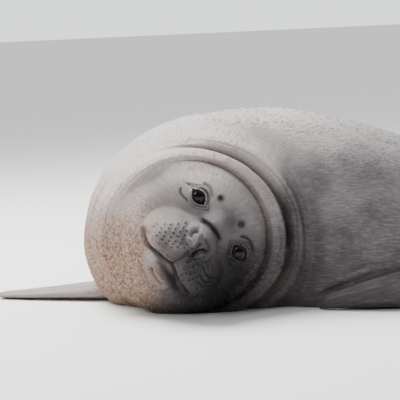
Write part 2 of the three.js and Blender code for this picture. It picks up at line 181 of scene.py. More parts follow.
def to_face(x, z):
    """a, b of a point: its offset from the eyes' middle, projected on LEFT and CROWN."""
    dx, dz = x - EYE_MIDDLE[0], z - EYE_MIDDLE[1]
    return dx * LEFT[0] + dz * LEFT[1], dx * CROWN[0] + dz * CROWN[1]


def from_face(a, b):
    """x, z of a point of the face: EYE_MIDDLE + a LEFT + b CROWN."""
    return (EYE_MIDDLE[0] + a * LEFT[0] + b * CROWN[0],
            EYE_MIDDLE[1] + a * LEFT[1] + b * CROWN[1])


def forward_of(a, b):
    """Soft maximum k ln sum exp(m / k) of the masses m = front - drop (u^2 + v^2)^blunt."""
    total = 0.0
    for at_a, at_b, size_a, size_b, turn, front, drop, blunt in MASSES:
        w = math.radians(turn)
        u = ((a - at_a) * math.cos(w) + (b - at_b) * math.sin(w)) / size_a
        v = ((b - at_b) * math.cos(w) - (a - at_a) * math.sin(w)) / size_b
        total = total + np.exp((front - drop * (u * u + v * v) ** blunt) / MASS_BLEND)
    return MASS_BLEND * np.log(total)


def face(t, angle):
    """nose + t (rim - nose) in x and z, with y from the masses and a round tuck to the rim."""
    rim = trunk(np.zeros_like(angle) + RIM, angle, on_floor=False)
    nose_x, nose_z = from_face(*NOSE_AT)
    x = nose_x + t * (rim[..., 0] - nose_x)
    z = nose_z + t * (rim[..., 2] - nose_z)
    tuck = np.maximum((t - RIM_TUCK) / (1 - RIM_TUCK), 0)
    ease = 1 - np.sqrt(np.maximum(1 - tuck * tuck, 0))
    y = -forward_of(*to_face(x, z)) * (1 - ease) + rim[..., 1] * ease
    return np.stack([x, y, np.maximum(z, 0)], axis=-1)


print("nose reaches forward", round(float(forward_of(*NOSE_AT)), 1), "mm")

# %% [markdown]
# Folds, slits and wrinkles are lines drawn on the face. The distance from every point of the
# skin to such a line is worked out for the whole grid at once, and a smooth profile of that
# distance presses the skin in or lifts it.

# %% Lines on the skin
def bell(x, width):
    """exp(-(x / width)^2)."""
    return np.exp(-(x / width) ** 2)


def line_distance(a, b, line):
    """Least distance from a, b to a rounded line, and how far along it that is, from 0 to 1."""
    line = rounded(line)
    best = np.full(a.shape, 1e9)
    at = np.zeros(a.shape)
    lengths = np.hypot(*np.diff(line, axis=0).T)
    starts = np.concatenate([[0], np.cumsum(lengths)])
    for (p, q, length, start) in zip(line[:-1], line[1:], lengths, starts):
        d = (q - p) / length
        f = np.clip((a - p[0]) * d[0] + (b - p[1]) * d[1], 0, length)
        gap = np.hypot(a - p[0] - f * d[0], b - p[1] - f * d[1])
        nearer = gap < best
        best = np.where(nearer, gap, best)
        at = np.where(nearer, (start + f) / starts[-1], at)
    return best, at


def rounded(points, count=60):
    """A Catmull-Rom curve through the points, as a fine polyline."""
    p = np.asarray(points, float)
    padded = np.vstack([2 * p[0] - p[1], p, 2 * p[-1] - p[-2]])
    s = np.linspace(0, len(p) - 1 - 1e-6, count)
    i = s.astype(int)
    f = (s - i)[:, None]
    p0, p1, p2, p3 = padded[i], padded[i + 1], padded[i + 2], padded[i + 3]
    return 0.5 * (2 * p1 + (p2 - p0) * f + (2 * p0 - 5 * p1 + 4 * p2 - p3) * f ** 2
                  + (3 * p1 - p0 - 3 * p2 + p3) * f ** 3)


def groove(a, b, line, width, depth, fade=0.25):
    """-depth exp(-(gap / width)^2), fading out towards both ends of the line."""
    gap, at = line_distance(a, b, line)
    ends = np.clip(np.minimum(at, 1 - at) / fade + 0.15, 0, 1)
    return -depth * ends * bell(gap, width)


MOUTH = [(-70, -114), (-60, -119), (-44, -121), (-35, -119), (-25, -115), (-15, -112),
         (-5, -108), (2, -106), (13, -108), (24, -112), (38, -113), (53, -114), (70, -114)]
PHILTRUM = [(-1, -64), (1, -80), (0, -97), (1, -106)]
RIGHT_NOSTRIL = [(-20, -51), (-24, -46), (-25, -41), (-22, -34), (-17, -31)]
LEFT_NOSTRIL = [(9, -69), (8, -60), (9, -52), (12, -45), (18, -41), (25, -43)]
NOSE_FOLD = [(-29, -21), (-20, -16), (-9, -13), (2, -12), (13, -13), (23, -18)]
CHIN_FOLD = [(-15, -139), (-7, -143), (1, -145), (9, -146), (17, -145), (27, -142)]
# line, width, depth in millimetres, and how dark its bottom is painted as painted shade
CREASES = [
    (MOUTH, 2.8, 8.0, 1.0), (PHILTRUM, 2.2, 3.0, 0.4), (NOSE_FOLD, 2.8, 7.5, 0.95),
    (RIGHT_NOSTRIL, 3.0, 10.0, 1.0), (LEFT_NOSTRIL, 3.2, 11.0, 1.0), (CHIN_FOLD, 2.5, 6.5, 1.0),
    ([(-14, -30), (-4, -31), (6, -31), (17, -34), (25, -40)], 1.9, 3.4, 0.7),
    ([(-2, -40), (1, -47), (1, -56), (-1, -64)], 2.2, 3.2, 0.7),
    ([(-94, -7), (-86, -1), (-77, 8), (-68, 14), (-58, 16), (-49, 12), (-40, 2)], 1.8, 3.0, 0.75),
    ([(-76, 19), (-69, 23), (-60, 25), (-46, 19)], 2.0, 2.2, 0.6),
    ([(-92, -17), (-86, -23), (-77, -24), (-64, -21)], 1.8, 2.4, 0.75),
    ([(38, 17), (45, 23), (54, 26), (66, 25), (80, 19)], 2.2, 3.4, 0.85),
    ([(58, -19), (66, -20), (74, -19), (83, -11)], 1.8, 2.4, 0.7),
    ([(64, -27), (75, -28), (84, -24), (92, -17)], 1.8, 2.0, 0.5),
    ([(32, -60), (47, -65), (60, -64), (71, -58)], 1.9, 2.8, 0.5),
    ([(38, -71), (54, -76), (64, -73), (71, -64)], 1.9, 2.8, 0.5),
    ([(50, -86), (60, -85), (68, -81), (75, -72)], 1.9, 2.6, 0.5),
]
# line, width and height in millimetres
RIDGES = [
    ([(-30, -46), (-28, -34), (-19, -25), (-6, -21), (6, -22), (18, -27), (31, -37), (36, -50)], 3.0, 4.0),
    ([(-20, -38), (-11, -38), (-6, -45), (-5, -57)], 2.8, 3.0),
    ([(12, -67), (13, -59), (15, -51), (20, -47)], 2.0, 2.2),
    ([(-28, -134), (-15, -147), (-1, -153), (19, -155), (32, -147), (35, -131), (28, -118)], 3.4, 2.4),
    ([(-66, -18), (-50, -14), (-34, -6)], 2.4, 1.6),
    ([(-26, -12), (-10, -5), (5, -4), (20, -9)], 4.0, 1.6),
]
EYES = {
    "right": dict(at=(-61.0, -1.5), length=17.5, upper=11.5, lower=10.0),
    "left": dict(at=(61.0, -1.5), length=17.5, upper=13.0, lower=12.5),
}
# soft patches of painted shade on the face: a, b, half sizes, strength
SHADE_PATCHES = [
    (-30, -100, 26, 14, 0.6), (0, -86, 14, 26, 0.45), (42, -88, 38, 33, 0.78), (84, -60, 36, 50, 0.6),
    (4, -119, 36, 6, 0.4), (6, -52, 28, 24, 0.5), (-72, -112, 8, 8, 0.7), (40, -124, 42, 16, 0.8),
    (0, 6, 26, 40, 0.25), (60, -26, 34, 14, 0.3), (58, 14, 30, 14, 0.12), (-78, -38, 40, 42, 0.4),
    (-92, -74, 34, 34, 0.38), (-42, -92, 26, 12, 0.25), (8, -160, 50, 22, 0.22), (36, -82, 30, 24, 0.25),
]
SOCKET, LID_FLESH = 3.0, 3.0     # how far the hollow lies inside the ball, and the lid outside it
BALL_ROWS, BALL_COLUMNS = 48, 64
# rings round the lids: distance from the edge, width, height, all in millimetres
LID_RINGS = [(1.9, 1.2, 2.2), (4.6, 1.0, -2.3), (7.6, 1.8, 2.0), (11.2, 1.6, -1.4)]


def lid_gap(a, b, eye):
    """Signed height over the almond edge: |b| - h (1 - (a / L)^2), below zero inside."""
    u, v = a - eye["at"][0], b - eye["at"][1]
    height = np.where(v > 0, eye["upper"], eye["lower"])
    return np.abs(v) - height * np.maximum(1 - (u / eye["length"]) ** 2, 0) \
        + np.maximum(np.abs(u) - eye["length"], 0)


print("lines on the face", len(CREASES) + len(RIDGES))

# %% [markdown]
# The whiskers grow from pimples set in slanting rows on the two pads, and from a dark tuft
# above each eye. A follicle's place is its row and its number in the row, jittered by a
# seeded draw, so the rows read as rows and still look grown.

# %% Whisker follicles
rng = np.random.default_rng(7)
PAD_ROWS, PAD_NUMBERS = 7, 5


def pad_follicles(side, corner):
    """corner + row (6.2, -2.2) + number (7.1, 9.8) outwards and down, odd rows set half a step on."""
    row, number = np.meshgrid(np.arange(PAD_ROWS), np.arange(PAD_NUMBERS), indexing="ij")
    number = number + 0.5 * (row % 2)
    a = corner[0] - side * 6.2 * row + side * 7.1 * number
    b = corner[1] - 2.2 * row - 9.8 * number
    places = np.stack([a, b], -1).reshape(-1, 2)
    return places + rng.normal(0, 0.8, places.shape)


RIGHT_FOLLICLES = pad_follicles(-1, (-40.0, -45.0))
LEFT_FOLLICLES = pad_follicles(1, (36.0, -48.0))
BROW_AT = np.array([(-37.0, 29.0), (22.0, 31.0)])
BROW_FOLLICLES = np.vstack([at + rng.normal(0, 3.0, (6, 2)) for at in BROW_AT])
FOLLICLES = np.vstack([RIGHT_FOLLICLES, LEFT_FOLLICLES])
print("follicles", len(FOLLICLES) + len(BROW_FOLLICLES))


def nearest(a, b, places):
    """Distance from each a, b to the nearest of some places."""
    best = np.full(a.shape, 1e9)
    for place in places:
        best = np.minimum(best, np.hypot(a - place[0], b - place[1]))
    return best


def face_detail(a, b):
    """Sum of creases, ridges and pimples along the skin's normal, and the dark: painted shade in crease
    bottoms and patches, with dark follicles and brow tufts.
    """
    lift, dark = np.zeros(a.shape), np.zeros(a.shape)
    for line, width, depth, bottom_shade in CREASES:
        lift += groove(a, b, line, width, depth, fade=0.1)
        # painted shade in the bottom of each crease
        dark = np.maximum(dark, -groove(a, b, line, width * 1.2, bottom_shade, fade=0.08))
    for line, width, height in RIDGES:
        lift -= groove(a, b, line, width, height, fade=0.3)
    lip = line_distance(a, b, MOUTH)[0]
    lift += 1.8 * bell(lip - 6.5, 3.5)
    pimple = nearest(a, b, FOLLICLES)
    lift += bell(pimple - 2.4, 1.3) - bell(pimple, 1.3)
    dark = np.maximum(dark, 0.95 * bell(pimple, 1.8))
    brow = nearest(a, b, BROW_AT)
    lift += 1.2 * bell(brow - 6.0, 2.5)
    dark = np.maximum(dark, np.exp(-(brow / 7.0) ** 3))
    # soft patches of painted shade laid over the face
    for at_a, at_b, half_a, half_b, strength in SHADE_PATCHES:
        away = ((a - at_a) / half_a) ** 2 + ((b - at_b) / half_b) ** 2
        dark = 1 - (1 - dark) * (1 - strength * np.exp(-away ** 1.5))
    return lift, dark

# %% [markdown]
# A grid of points becomes a mesh with one quad per cell. The angle closes on itself, and an
# open end is closed by a last row that has shrunk to a point. Colours that follow the body, such
# as stuck sand, painted light on the upper side and painted shade low down and in creases, are
# kept as attributes on the vertices, so that skin and fur can read the same marks.

# %% Grid to mesh
HAIR_LOWEST = 0.2


def above(points, lowest=0):
    """The points with z at least the lowest allowed, so that nothing sinks into the floor."""
    points[..., 2] = np.maximum(points[..., 2], lowest)
    return points


def unit(v):
    """v / |v|."""
    return v / np.maximum(np.linalg.norm(v, axis=-1, keepdims=True), 1e-9)


def normals_of(grid):
    """Outward cross product of the two grid directions, with the angle wrapped round."""
    down = np.gradient(grid, axis=0)
    round_ = np.roll(grid, -1, axis=1) - np.roll(grid, 1, axis=1)
    return unit(np.cross(down, round_))


def add_mesh(name, vertices, faces, marks=None, smooth=True):
    """Vertices in millimetres and faces of one size become an object in metres."""
    mesh = bpy.data.meshes.new(name)
    faces = np.asarray(faces, np.int32)
    vertices = np.asarray(vertices, float)
    mesh.vertices.add(len(vertices))
    mesh.vertices.foreach_set("co", to_metres(vertices).astype(np.float32).ravel())
    mesh.loops.add(faces.size)
    mesh.loops.foreach_set("vertex_index", faces.ravel())
    mesh.polygons.add(len(faces))
    sides = faces.shape[1]
    mesh.polygons.foreach_set("loop_start", np.arange(0, faces.size, sides, dtype=np.int32))
    mesh.polygons.foreach_set("loop_total", np.full(len(faces), sides, np.int32))
    mesh.polygons.foreach_set("use_smooth", np.full(len(faces), smooth))
    for mark, values in (marks or {}).items():
        attribute = mesh.attributes.new(mark, "FLOAT", "POINT")
        attribute.data.foreach_set("value", np.asarray(values, np.float32).ravel())
    mesh.update(calc_edges=True)
    p = vertices - np.mean(vertices, axis=0)
    fans = sum(np.sum(p[faces[:, 0]] * np.cross(p[faces[:, k]], p[faces[:, k + 1]]))
               for k in range(1, sides - 1))
    print(name, len(faces), "faces,", round(float(fans) / 6e6, 4), "litres")
    thing = bpy.data.objects.new(name, mesh)
    bpy.context.collection.objects.link(thing)
    return thing


def wrapped_faces(rows, columns):
    """Quads of a grid whose columns close: (i, j), (i, j+1), (i+1, j+1), (i+1, j)."""
    i, j = np.meshgrid(np.arange(rows - 1), np.arange(columns), indexing="ij")
    k = (j + 1) % columns
    return np.stack([i * columns + j, i * columns + k, (i + 1) * columns + k,
                     (i + 1) * columns + j], axis=-1).reshape(-1, 4)


def give_uv(thing, name, uv):
    """One uv pair per face corner."""
    layer = thing.data.uv_layers.new(name=name)
    layer.data.foreach_set("uv", np.asarray(uv, np.float32).ravel())


# %% [markdown]
# The skin has two meshes that share the bottom of the deepest neck crease, where no seam can
# show: a fine one for the face and first roll, and one for the rest of the seal. Fine creases
# follow the slices, deep on the inside of the bend and shallow on the throat.

# %% Skin marks and neck creases
def soft_step(x, low, high):
    """Smoothstep: 3 f^2 - 2 f^3 with f the share of the way from low to high."""
    f = np.clip((x - low) / (high - low), 0, 1)
    return f * f * (3 - 2 * f)


def lump_noise(points, size, seed):
    """Sum of sines along seeded directions, about size millimetres from lump to lump."""
    draw = np.random.default_rng(seed)
    total = np.zeros(points.shape[:-1])
    for _ in range(10):
        direction = draw.normal(size=3)
        direction *= 2 * math.pi / size / np.linalg.norm(direction) * draw.uniform(0.7, 1.5)
        total += np.sin(points @ direction + draw.uniform(0, 2 * math.pi))
    return total / math.sqrt(10)


# slice count, width in slices, depth in mm, middle of its deep side and its spread in degrees
NECK_CREASES = [
    (0.45, 0.10, 1.6, 0, 75), (1.55, 0.12, 1.2, 10, 70), (4.55, 0.16, 2.4, 5, 75),
    (5.55, 0.22, 2.2, 10, 70), (6.15, 0.25, 1.2, 15, 60), (1.0, 0.14, 2.2, 175, 60),
    (2.35, 0.12, 3.0, 180, 70), (4.25, 0.14, 2.2, 180, 60), (5.0, 0.18, 1.4, 190, 50),
]


# x, z on the near flank, width and depth; a negative depth stands proud
ARMPIT_FOLDS = [
    ([(250, 60), (261, 70), (276, 78), (294, 84), (320, 86), (337, 83), (350, 75)], 3.6, 6.0),
    ([(352, 74), (342, 76), (333, 73), (315, 70), (296, 64), (274, 54), (256, 48), (239, 40),
      (221, 31), (194, 18)], 4.0, 8.0),
    ([(262, 62), (283, 71), (305, 77), (333, 78)], 6.0, -4.0),
    ([(292, 109), (304, 112), (318, 112), (330, 107)], 3.5, 2.2),
]


def neck_detail(s, angle, points):
    """Creases -depth exp(-((s - s0) / w)^2), wavering with a slow noise, plus soft folds."""
    waver = 0.05 * lump_noise(points, 90.0, 11)
    lift = np.zeros(s.shape)
    for at, width, depth, side, spread in NECK_CREASES:
        off = np.abs((np.degrees(angle) - side + 180) % 360 - 180)
        lift -= depth * bell(s - at + waver, width) * bell(off, spread)
    lift += 0.5 * lump_noise(points, 60.0, 12) * soft_step(s, 0.0, 3.0)
    near_side = points[..., 1] < 40
    for line, width, depth in ARMPIT_FOLDS:
        lift += groove(points[..., 0], points[..., 2], line, width, depth) * near_side
    return lift


def marks_of(points, dark):
    """sand: stuck sand low on the throat; pale: painted light on the upper side that faces the sky and on
    the near neck rolls; the shade mark: painted shade low down on the near side and next to the floor;
    dark: painted shade in slits and creases, with dark follicles and brow tufts.
    """
    x, y, z = points[..., 0], points[..., 1], points[..., 2]
    blotch = lump_noise(points, 70.0, 21) * 0.25 + lump_noise(points, 22.0, 22) * 0.12
    sand = soft_step(-x + blotch * 60, 30, 130) * soft_step(290 - z + blotch * 60, 0, 190) \
        * soft_step(420 - y, 0, 300)
    crown = np.exp(-(((x - 4) / 42) ** 2 + ((z - 268) / 11) ** 2)) * (y < 30)
    # painted light: the higher and further left a point lies, the paler it is, as the sky lights the upper
    # side
    sky_facing = 0.8 * z - 0.35 * np.clip(x, -170, 200)
    pale = soft_step(sky_facing + blotch * 30, 100, 235)
    # painted shade: darker low down and to the right, on the near side
    wet = 0.75 * z - 0.5 * np.clip(x, -200, 90)
    near = (1 - soft_step(wet + blotch * 30, 5, 115)) * soft_step(60 - y, 0, 60)
    near = near * (1 - 0.5 * soft_step(x, 70, 120))
    # painted shade next to the floor, less where sand lies
    under = 0.6 * (1 - soft_step(z, 0, 70)) * (1 - 0.7 * sand)
    # the near neck rolls are painted lighter, with less painted shade, for their lit ridges
    rolls = soft_step(x, 55, 110) * soft_step(158 - x, 0, 24) * soft_step(z, 95, 190) \
        * soft_step(60 - y, 0, 60)
    pale = np.clip(pale + 0.5 * rolls, 0, 1)
    near = near * (1 - 0.5 * rolls)
    return {"sand": np.clip(sand + 0.4 * crown, 0, 1), "pale": pale,
            "painted_shade": np.clip(np.maximum(near, under), 0, 1), "dark": dark}


# %% Face and first roll
FACE_COLUMNS, FACE_ROWS, ROLL_ROWS = 440, 166, 58


def close_ends(grid, far_end=True):
    """Adds a row shrunk to a point before the first row and, for a far end, after the last."""
    first, last = [np.broadcast_to(row.mean(axis=1, keepdims=True), row.shape)
                   for row in (grid[:1], grid[-1:])]
    return np.concatenate([first, grid, last] if far_end else [first, grid])


def lifted(grid, lift):
    """grid + n lift, kept above the floor."""
    return above(grid + normals_of(grid) * lift[..., None])


def crease_shade(s, angle):
    """Painted shade in the neck crease: 0.7 exp(-((s - crease) / 0.3)^2) cos^6(angle / 2), darkest on the
    inside of the bend.
    """
    return bell(s - CREASE, 0.3) * 0.7 * np.cos(angle / 2) ** 6


def closed_skin(name, grid, dark):
    """A grid closed at both ends becomes a skin with its marks and its faces turned outwards."""
    grid = close_ends(grid)
    dark = np.concatenate([dark[:1], dark, dark[-1:]])
    faces = wrapped_faces(*grid.shape[:2])[:, ::-1]
    return add_mesh(name, grid.reshape(-1, 3), faces, marks_of(grid, dark)), grid


def head_skin():
    """face(t, angle) then trunk(s, angle) up to the crease, moved by the detail along n."""
    angle = 2 * math.pi * np.arange(FACE_COLUMNS) / FACE_COLUMNS
    t = np.linspace(0.01, 1, FACE_ROWS)[:, None]
    s = np.linspace(RIM, CREASE, ROLL_ROWS + 1)[1:, None]
    front = face(*np.broadcast_arrays(t, angle[None]))
    back = trunk(*np.broadcast_arrays(s, angle[None]))
    a, b = to_face(front[..., 0], front[..., 2])
    for eye in EYES.values():
        u, v = a - eye["at"][0], b - eye["at"][1]
        r2 = u * u + v * v
        dome = EYE_FORWARD + np.sqrt(np.maximum((EYE_RADIUS + LID_FLESH) ** 2 - r2, 0))
        near = soft_step((EYE_RADIUS + 5.0) ** 2 - r2, 0, 330)
        front[..., 1] = np.where(near > 0, -(np.maximum(-front[..., 1], dome) * near
                                             - front[..., 1] * (1 - near)), front[..., 1])
        gap = lid_gap(a, b, eye)
        hollow = EYE_FORWARD + np.sqrt(np.maximum((EYE_RADIUS - SOCKET) ** 2 - r2, 16))
        inside = 1 - soft_step(gap, -0.9, 0.5)
        front[..., 1] = front[..., 1] * (1 - inside) - hollow * inside
    lift, dark = face_detail(a, b)
    edge = soft_step(1 - t, 0.0, 0.12)
    for eye in EYES.values():
        gap = lid_gap(a, b, eye)
        close_by = np.hypot(a - eye["at"][0], b - eye["at"][1])
        lift = np.where((gap < 0.4) & (close_by < 22), 0, lift)
        fade = soft_step(40 - close_by, 0, 12)
        for at, width, height in LID_RINGS:
            lift += height * bell(gap - at, width) * fade
            # the grooves between the lid rings get painted shade
            if height < 0:
                dark = np.maximum(dark, 0.32 * -height * bell(gap - at, width) * fade)
        # the lid edge and the socket round the ball are painted near black as painted shade
        dark = np.maximum(dark, (gap < 0.9) * (close_by < 24) * 0.95)
    s_full, angle_full = np.broadcast_arrays(s, angle[None])
    back_lift = neck_detail(s_full, angle_full, back) * soft_step(s_full, 0.0, 0.2) \
        * soft_step(CREASE - s_full, 0.0, 0.3)
    return (lifted(np.concatenate([front, back]), np.concatenate([lift * edge, back_lift])),
            np.concatenate([dark * edge, crease_shade(s_full, angle_full)]))


skin_head, head_grid = closed_skin("skin_head", *head_skin())
print("head skin quads", len(skin_head.data.polygons))

# %% Trunk
BODY_COLUMNS, BODY_ROWS = 300, 300
BODY_START = CREASE - 0.04


def body_skin():
    """trunk(s, angle) from the crease to the rump, with rows packed close in the neck."""
    angle = 2 * math.pi * np.arange(BODY_COLUMNS) / BODY_COLUMNS
    share = np.linspace(0, 1, BODY_ROWS)
    s = (BODY_START + (RUMP - BODY_START) * (0.45 * share + 0.55 * share ** 2))[:, None]
    s, angle = np.broadcast_arrays(s, angle[None])
    grid = trunk(s, angle)
    lift = neck_detail(s, angle, grid) * soft_step(s - CREASE, 0.0, 0.3)
    return lifted(grid, lift), crease_shade(s, angle)


skin_body, body_grid = closed_skin("skin_body", *body_skin())
print("body skin quads", len(skin_body.data.polygons))

# %% [markdown]
# Each flipper is a flattened body carried along a path, with the flesh thinner between its
# five digits and a longer reach at each digit's end.

# %% Flippers
DIGITS = 5
WEB_THINNING, TIP_NARROWING = 0.28, 0.25       # at the tip, as shares of thickness and width
TIP_REACH, DIGIT_REACH = 0.25, 0.1             # past the path's end, as shares of the half width
HIND = dict(width=[26, 32, 46, 64, 80], thick=[16, 16, 14, 12, 9], fan=0.35, claw=7)
FLIPPERS = {
    "fore_flipper_right": dict(
        stops=[(-110, 180, 26), (-190, 204, 19), (-260, 228, 14), (-330, 250, 10), (-392, 270, 7)],
        width=[44, 46, 42, 34, 23], thick=[26, 18, 13, 9, 6],
        across=[(0.31, 0.95, 0.05), (0.31, 0.95, 0.0)], fan=0.1, claw=15),
    "fore_flipper_left": dict(
        stops=[(470, -46, 62), (400, -96, 47), (335, -94, 38), (272, -80, 27), (215, -60, 15)],
        width=[56, 44, 36, 26, 15], thick=[24, 20, 17, 13, 8],
        across=[(0.1, -0.25, 0.95), (0.3, -0.4, 0.85)], fan=0.1, claw=10),
    "hind_flipper_right": dict(
        stops=[(1010, 196, 36), (1080, 206, 36), (1145, 216, 36), (1210, 227, 34), (1270, 238, 32)],
        across=[(0.1, 0.5, 0.86), (-0.15, 0.95, 0.3)], **HIND),
    "hind_flipper_left": dict(
        stops=[(1010, 114, 36), (1080, 104, 36), (1145, 94, 36), (1210, 83, 34), (1270, 72, 32)],
        across=[(0.1, 0.5, -0.86), (0.15, 0.95, -0.3)], **HIND),
}
FLIPPER_COLUMNS, FLIPPER_ROWS, TIP_ROWS = 120, 90, 16


def tip_reach(u, width, fan):
    """width (reach + fan |u| + digit cos(pi u (digits - 1)))."""
    return width[-1] * (TIP_REACH + fan * np.abs(u) + DIGIT_REACH * np.cos(math.pi * u * (DIGITS - 1)))


def flipper_grid(stops, width, thick, across, fan, claw):
    """path(t) + wide u w(t) + proud sin(w) web h(t), then the tip reaches on by digit."""
    path = rounded(stops, FLIPPER_ROWS)
    tangent = unit(np.gradient(path, axis=0))
    share = np.linspace(0, 1, FLIPPER_ROWS)[:, None]
    wide = unit(np.array(across[0]) * (1 - share) + np.array(across[1]) * share)
    proud = unit(np.cross(tangent, wide))
    last = len(width) - 1
    w_of = smooth_through(np.array(width, float), share[:, 0] * last)
    h_of = smooth_through(np.array(thick, float), share[:, 0] * last)
    w = 2 * math.pi * np.arange(FLIPPER_COLUMNS) / FLIPPER_COLUMNS
    u = np.cos(w)
    digit = np.cos(math.pi * u * (DIGITS - 1))
    reach = tip_reach(u, width, fan)
    rows = []
    tips = np.linspace(0, 1, TIP_ROWS + 1)[1:]
    for k in range(FLIPPER_ROWS + TIP_ROWS):
        i = min(k, FLIPPER_ROWS - 1)
        tip = 0.0 if k < FLIPPER_ROWS else tips[k - FLIPPER_ROWS]
        web = 1 - WEB_THINNING * share[i] * (1 - digit) / 2
        shrink = 1 - math.sqrt(max(1 - tip * tip, 0))
        rows.append(path[i] + np.outer(u * w_of[i] * (1 - TIP_NARROWING * shrink), wide[i])
                    + np.outer(np.sin(w) * web * h_of[i] * (1 - shrink), proud[i])
                    + np.outer(reach * tip, tangent[-1]))
    return close_ends(above(np.array(rows)), far_end=False), path[-1], tangent[-1], wide[-1]


flippers, flipper_grids, flipper_tips = {}, {}, {}
for name, shape in FLIPPERS.items():
    grid, *flipper_tips[name] = flipper_grid(**shape)
    flipper_grids[name] = grid
    marks = marks_of(grid, np.full(grid.shape[:2], 0.15))
    # every flipper but the left fore one: a quarter of the painted shade, painted light that makes the
    # right fore flipper pale to at least 0.7 and the hind ones to 0.2, and less sand
    if name != "fore_flipper_left":
        marks["painted_shade"] = 0.25 * marks["painted_shade"]
        marks["pale"] = np.maximum(marks["pale"], 0.7 if name.startswith("fore") else 0.2)
        marks["sand"] = 0.3 * marks["sand"]
    flippers[name] = add_mesh("skin_" + name, grid.reshape(-1, 3),
                              wrapped_faces(*grid.shape[:2]), marks)
print("flippers", len(flippers))

# %% Tail
TAIL = np.array([[1040, 155, 34, 14], [1065, 155, 32, 13], [1095, 155, 28, 11],
                 [1118, 155, 25, 7], [1124, 155, 25, 3]], float)
TAIL_WIDE, TAIL_HIGH, TAIL_ROWS, TAIL_COLUMNS = 1.25, 0.8, 40, 64


def tail_surface():
    """x, y - 1.25 r cos w, z + 0.8 r sin w, with x, y, z and r joined along the rings."""
    s = np.linspace(0, len(TAIL) - 1, TAIL_ROWS)[:, None]
    w = 2 * math.pi * np.arange(TAIL_COLUMNS)[None] / TAIL_COLUMNS
    x, y, z, r = [smooth_through(TAIL[:, k], s) for k in range(4)]
    grid = np.stack(np.broadcast_arrays(x, y - r * TAIL_WIDE * np.cos(w),
                                        np.maximum(z + r * TAIL_HIGH * np.sin(w), 0)), axis=-1)
    return grid, np.full(grid.shape[:2], 0.1)


skin_tail, tail_grid = closed_skin("skin_tail", *tail_surface())
print("tail quads", len(skin_tail.data.polygons))

# %% [markdown]
# The eyes are nearly black balls under a wet film. Claws are short horny cones at the ends of
# the digits. Whiskers are thin tapering hairs, each a bent four-sided spike that leaves its
# follicle along the pad and curves back with the lie of the coat.

# %% Eyes
def ball_grid(centre, radius):
    """centre + radius (sin p cos q, -cos p, sin p sin q): a ball with its pole towards -y."""
    p = np.linspace(0, math.pi, BALL_ROWS)[:, None]
    q = 2 * math.pi * np.arange(BALL_COLUMNS)[None] / BALL_COLUMNS
    p, q = np.broadcast_arrays(p, q)
    return centre + radius * np.stack([np.sin(p) * np.cos(q), -np.cos(p), np.sin(p) * np.sin(q)], -1)


eyes = {}
for side, eye in EYES.items():
    x, z = from_face(*eye["at"])
    grid = ball_grid(np.array([x, -EYE_FORWARD, z]), EYE_RADIUS)
    polar = np.broadcast_to(np.linspace(0, 1, BALL_ROWS)[:, None], grid.shape[:2])
    eyes[side] = add_mesh("eyeball_" + side, grid.reshape(-1, 3),
                          wrapped_faces(BALL_ROWS, BALL_COLUMNS)[:, ::-1], {"polar": polar})


# %% Spikes: claws and whiskers
def spikes(name, roots, tips, bends, radii, rings, sides=4):
    """Root + f (tip - root) + bend f (1 - f) 4, rings of radius r (1 - f), both ends closed."""
    roots, tips, bends, radii = [np.asarray(v, float) for v in (roots, tips, bends, radii)]
    f = np.linspace(0, 1, rings)
    line = roots[:, None] + f[None, :, None] * (tips - roots)[:, None] \
        + (4 * f * (1 - f))[None, :, None] * bends[:, None]
    way = unit(tips - roots)
    side = unit(np.cross(way, [0.13, 0.4, 0.9]))
    other = np.cross(way, side)
    w = 2 * math.pi * np.arange(sides) / sides
    ring = np.cos(w)[None, None, :, None] * side[:, None, None] \
        + np.sin(w)[None, None, :, None] * other[:, None, None]
    size = radii[:, None] * np.maximum(1 - f, 0.05)[None]
    points = above(line[:, :, None] + ring * size[..., None, None], HAIR_LOWEST)
    middles = np.broadcast_to(points.mean(axis=2, keepdims=True), points.shape)
    points = np.concatenate([middles[:, :1], points, middles[:, -1:]], axis=1)
    f = np.concatenate([f[:1], f, f[-1:]])
    count, rings = len(roots), rings + 2
    base = (np.arange(count) * rings * sides)[:, None]
    faces = (base[..., None] + wrapped_faces(rings, sides)[None]).reshape(-1, 4)
    along = np.broadcast_to(f[None, :, None], (count, rings, sides))
    return add_mesh(name, points.reshape(-1, 3), faces, {"along": along})


CLAW_SPREAD = 0.68                 # outermost claw, as a share of the half width
CLAW_ROOT, CLAW_RADIUS, CLAW_ARCH, CLAW_LOWEST = 12, 3.6, 1.5, 4
claws = {}
for name, shape in FLIPPERS.items():
    end, ahead, wide = flipper_tips[name]
    u = np.linspace(-1, 1, DIGITS)
    far = tip_reach(u * CLAW_SPREAD / (1 - TIP_NARROWING), shape["width"], shape["fan"])
    middle = end + u[:, None] * shape["width"][-1] * CLAW_SPREAD * wide + far[:, None] * ahead
    above(middle, CLAW_LOWEST)
    claws[name] = spikes("claws_" + name, middle - ahead * CLAW_ROOT, middle + ahead * shape["claw"],
                         np.tile([0, 0, CLAW_ARCH], (DIGITS, 1)), np.full(DIGITS, CLAW_RADIUS),
                         sides=12, rings=10)


def on_face(places):
    """x, -forward, z for rows of a, b."""
    a, b = places[:, 0], places[:, 1]
    x, z = from_face(a, b)
    return np.stack([x, -forward_of(a, b), z], axis=-1)


def whisker_set(name, places, side, length):
    """Each hair leaves outwards along the pad and down, and bends back towards the cheek."""
    draw = np.random.default_rng(31 if side > 0 else 32)
    count = len(places)
    roots = on_face(places)
    level = side * 0.75 * LEFT - 0.35 * CROWN
    out = np.array([level[0], -0.45, level[1]])
    lengths = draw.uniform(0.35, 1.0, count) * length
    way = unit(out + draw.normal(0, 0.12, (count, 3)))
    tips = roots + way * lengths[:, None]
    bends = np.stack([np.zeros(count), -0.06 * lengths, -0.05 * lengths], -1)
    return spikes(name, roots, tips, bends, draw.uniform(0.2, 0.32, count), rings=6)


